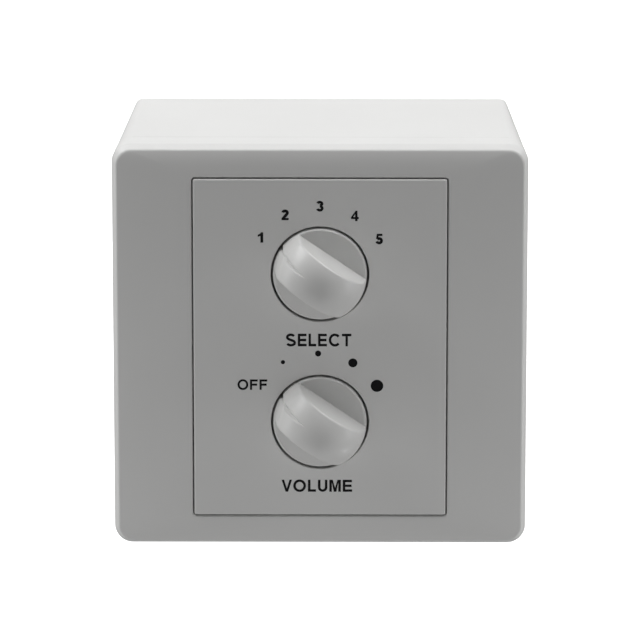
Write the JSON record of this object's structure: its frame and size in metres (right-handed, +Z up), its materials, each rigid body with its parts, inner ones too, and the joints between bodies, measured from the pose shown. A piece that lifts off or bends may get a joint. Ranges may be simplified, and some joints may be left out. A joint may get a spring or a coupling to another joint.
{
  "type": "wall volume control",
  "caption": "Square surface-mounted wall control with an insert panel and pointer knobs on rotary switches, one selecting a source and one setting the level through a tapped transformer.",
  "frame": {"origin": "middle of the box's flat back face, on the wall", "axes": "+Z up, +Y into the wall, so the front faces -Y, +X to the right seen from the front"},
  "size_m": [0.086, 0.0685, 0.086],
  "materials": {
    "white_plastic": "fine moulded grain, satin",
    "knob_plastic": "smooth satin",
    "steel": "zinc plated",
    "brass": "plain",
    "copper": "enamelled copper wire",
    "phenolic": "laminate",
    "black_plastic": "moulded",
    "natural_plastic": "moulded",
    "green_plastic": "moulded",
    "board": "solder mask",
    "iron": "varnished laminations",
    "tape": "film",
    "lead": "insulation"
  },
  "bodies": {
    "housing": {"back_box": "white_plastic", "post_inserts": "brass", "support_plate": "steel", "plate_screws": "steel", "trim_frame": "white_plastic", "insert_panel": "white_plastic", "select_bushing": "steel", "select_washer": "steel", "select_nut": "steel", "select_housing": "black_plastic", "select_cover": "phenolic", "select_contacts": "brass", "volume_bushing": "steel", "volume_washer": "steel", "volume_nut": "steel", "volume_housing": "black_plastic", "volume_cover": "phenolic", "volume_contacts": "brass", "circuit_board": "board", "board_spacers": "brass", "board_screws": "steel", "terminal_block": "green_plastic", "terminal_cages": "brass", "terminal_screws": "steel", "transformer_core": "iron", "transformer_bobbin": "natural_plastic", "transformer_winding": "copper", "transformer_tape": "tape", "transformer_screws": "steel", "transformer_spacers": "brass", "transformer_nuts": "steel", "transformer_leads": "lead"},
    "select_control": {"select_knob": "knob_plastic", "select_shaft": "steel", "select_rotor": "natural_plastic", "select_wiper": "brass", "select_spring": "steel", "select_ball": "steel"},
    "volume_control": {"volume_knob": "knob_plastic", "volume_shaft": "steel", "volume_rotor": "natural_plastic", "volume_wiper": "brass", "volume_spring": "steel", "volume_ball": "steel"}
  },
  "joints": [
    {"name": "select_turn", "type": "hinge", "parent": "housing", "child": "select_control", "pos_m": [0, -0.0568, 0.0159], "axis": [0, 1, 0], "range_deg": [0, 120]},
    {"name": "volume_turn", "type": "hinge", "parent": "housing", "child": "volume_control", "pos_m": [0, -0.0568, -0.0159], "axis": [0, 1, 0], "range_deg": [0, 120]}
  ]
}
